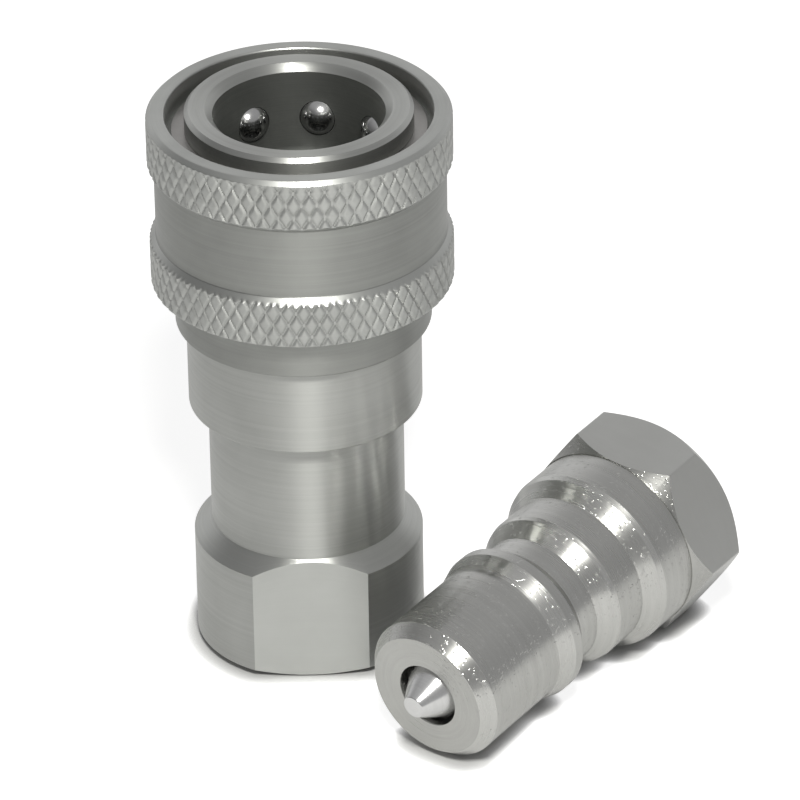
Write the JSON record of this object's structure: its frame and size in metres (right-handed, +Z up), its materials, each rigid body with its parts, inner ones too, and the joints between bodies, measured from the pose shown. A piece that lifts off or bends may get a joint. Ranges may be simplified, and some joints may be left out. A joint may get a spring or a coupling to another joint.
{
  "type": "hydraulic quick coupler",
  "caption": "Hydraulic quick coupler set: a standing socket with a knurled spring-loaded release sleeve and ball lock, and its matching plug with a poppet in the nose.",
  "frame": {"origin": "centre of the socket's foot, on the socket's axis at the mouth of its threaded port", "axes": "+Z up the socket's axis towards its mouth; the plug lies in front on the +X side, its nose towards -X and -Y"},
  "size_m": [0.0642, 0.049, 0.0657],
  "materials": {
    "socket_steel": "zinc plated, satin",
    "sleeve_steel": "zinc plated, knurled bands",
    "plug_steel": "zinc plated, bright",
    "valve_steel": "turned, bright",
    "ball_chrome": "polished",
    "spring_steel": "drawn wire and strip",
    "seal_rubber": "nitrile, smooth",
    "backup_plastic": "white sealing plastic"
  },
  "bodies": {
    "coupler": {"socket_adapter": "socket_steel", "socket_body": "socket_steel", "sleeve_spring": "spring_steel", "sleeve_retaining_ring": "spring_steel", "bore_o_ring": "seal_rubber", "bore_backup_ring": "backup_plastic", "joint_o_ring": "seal_rubber", "socket_poppet_spring": "spring_steel", "socket_valve_guide": "valve_steel", "plug_body": "plug_steel", "plug_poppet_spring": "spring_steel", "plug_valve_guide": "valve_steel", "plug_guide_ring": "spring_steel"},
    "sleeve": {"release_sleeve": "sleeve_steel", "spring_washer": "spring_steel"},
    "ball_1": {"locking_ball_1": "ball_chrome"},
    "ball_2": {"locking_ball_2": "ball_chrome"},
    "ball_3": {"locking_ball_3": "ball_chrome"},
    "ball_4": {"locking_ball_4": "ball_chrome"},
    "ball_5": {"locking_ball_5": "ball_chrome"},
    "ball_6": {"locking_ball_6": "ball_chrome"},
    "ball_7": {"locking_ball_7": "ball_chrome"},
    "ball_8": {"locking_ball_8": "ball_chrome"},
    "socket_valve": {"socket_poppet": "valve_steel", "socket_poppet_seal": "seal_rubber"},
    "plug_valve": {"plug_poppet": "valve_steel", "plug_poppet_seal": "seal_rubber"}
  },
  "joints": [
    {"name": "sleeve_slide", "type": "slide", "parent": "coupler", "child": "sleeve", "axis": [0, 0, -1], "range_m": [0, 0.0052], "stiffness_N_per_m": 800, "springref_m": -0.008, "deforming": ["sleeve_spring"]},
    {"name": "ball_1_slide", "type": "slide", "parent": "coupler", "child": "ball_1", "axis": [0.2164, 0.9763, 0], "range_m": [0, 0.00095]},
    {"name": "ball_2_slide", "type": "slide", "parent": "coupler", "child": "ball_2", "axis": [0.8434, 0.5373, 0], "range_m": [0, 0.00095]},
    {"name": "ball_3_slide", "type": "slide", "parent": "coupler", "child": "ball_3", "axis": [0.9763, -0.2164, 0], "range_m": [0, 0.00095]},
    {"name": "ball_4_slide", "type": "slide", "parent": "coupler", "child": "ball_4", "axis": [0.5373, -0.8434, 0], "range_m": [0, 0.00095]},
    {"name": "ball_5_slide", "type": "slide", "parent": "coupler", "child": "ball_5", "axis": [-0.2164, -0.9763, 0], "range_m": [0, 0.00095]},
    {"name": "ball_6_slide", "type": "slide", "parent": "coupler", "child": "ball_6", "axis": [-0.8434, -0.5373, 0], "range_m": [0, 0.00095]},
    {"name": "ball_7_slide", "type": "slide", "parent": "coupler", "child": "ball_7", "axis": [-0.9763, 0.2164, 0], "range_m": [0, 0.00095]},
    {"name": "ball_8_slide", "type": "slide", "parent": "coupler", "child": "ball_8", "axis": [-0.5373, 0.8434, 0], "range_m": [0, 0.00095]},
    {"name": "socket_poppet_slide", "type": "slide", "parent": "coupler", "child": "socket_valve", "axis": [0, 0, -1], "range_m": [0, 0.0035], "stiffness_N_per_m": 300, "springref_m": -0.008, "deforming": ["socket_poppet_spring"]},
    {"name": "plug_poppet_slide", "type": "slide", "parent": "coupler", "child": "plug_valve", "axis": [0.6311, 0.7707, 0.0881], "range_m": [0, 0.0035], "stiffness_N_per_m": 300, "springref_m": -0.008, "deforming": ["plug_poppet_spring"]}
  ],
  "couplings": [
    {"joint": "ball_1_slide", "follows": "sleeve_slide", "ratio": 0.1826},
    {"joint": "ball_2_slide", "follows": "sleeve_slide", "ratio": 0.1826},
    {"joint": "ball_3_slide", "follows": "sleeve_slide", "ratio": 0.1826},
    {"joint": "ball_4_slide", "follows": "sleeve_slide", "ratio": 0.1826},
    {"joint": "ball_5_slide", "follows": "sleeve_slide", "ratio": 0.1826},
    {"joint": "ball_6_slide", "follows": "sleeve_slide", "ratio": 0.1826},
    {"joint": "ball_7_slide", "follows": "sleeve_slide", "ratio": 0.1826},
    {"joint": "ball_8_slide", "follows": "sleeve_slide", "ratio": 0.1826}
  ]
}
